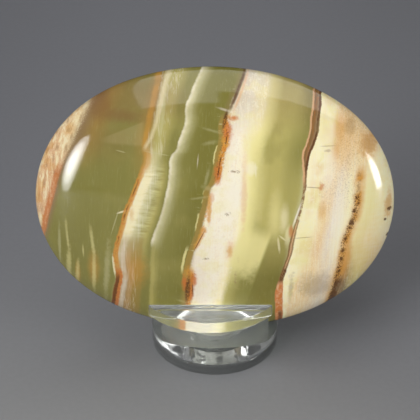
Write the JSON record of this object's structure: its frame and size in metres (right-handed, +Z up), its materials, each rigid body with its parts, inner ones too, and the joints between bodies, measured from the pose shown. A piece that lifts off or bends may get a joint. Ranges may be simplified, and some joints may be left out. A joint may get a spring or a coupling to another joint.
{
  "type": "palm stone",
  "caption": "Polished oval palm stone of banded calcite, held upright in a slotted clear stand that turns on its foot.",
  "frame": {"origin": "centre of the foot's flat underside", "axes": "+Z up along the turning axis, +X along the slot and the stone's length, -Y towards the viewer of the stone's face"},
  "size_m": [0.07, 0.0269, 0.057],
  "materials": {
    "banded_calcite": "polished, translucent, banded green, cream and amber",
    "clear_acrylic": "polished clear acrylic",
    "screw_steel": "bright zinc-plated steel"
  },
  "bodies": {
    "foot": {"foot": "clear_acrylic", "screw": "screw_steel"},
    "cradle": {"cradle": "clear_acrylic", "front_jaw": "clear_acrylic", "rear_jaw": "clear_acrylic"},
    "stone": {"stone": "banded_calcite"}
  },
  "joints": [
    {"name": "cradle_turn", "type": "hinge", "parent": "foot", "child": "cradle", "pos_m": [0, 0, 0.0022], "axis": [0, 0, 1], "continuous": true},
    {"name": "stone_lift", "type": "slide", "parent": "cradle", "child": "stone", "axis": [0, 0, 1], "range_m": [0, 0.02]}
  ]
}
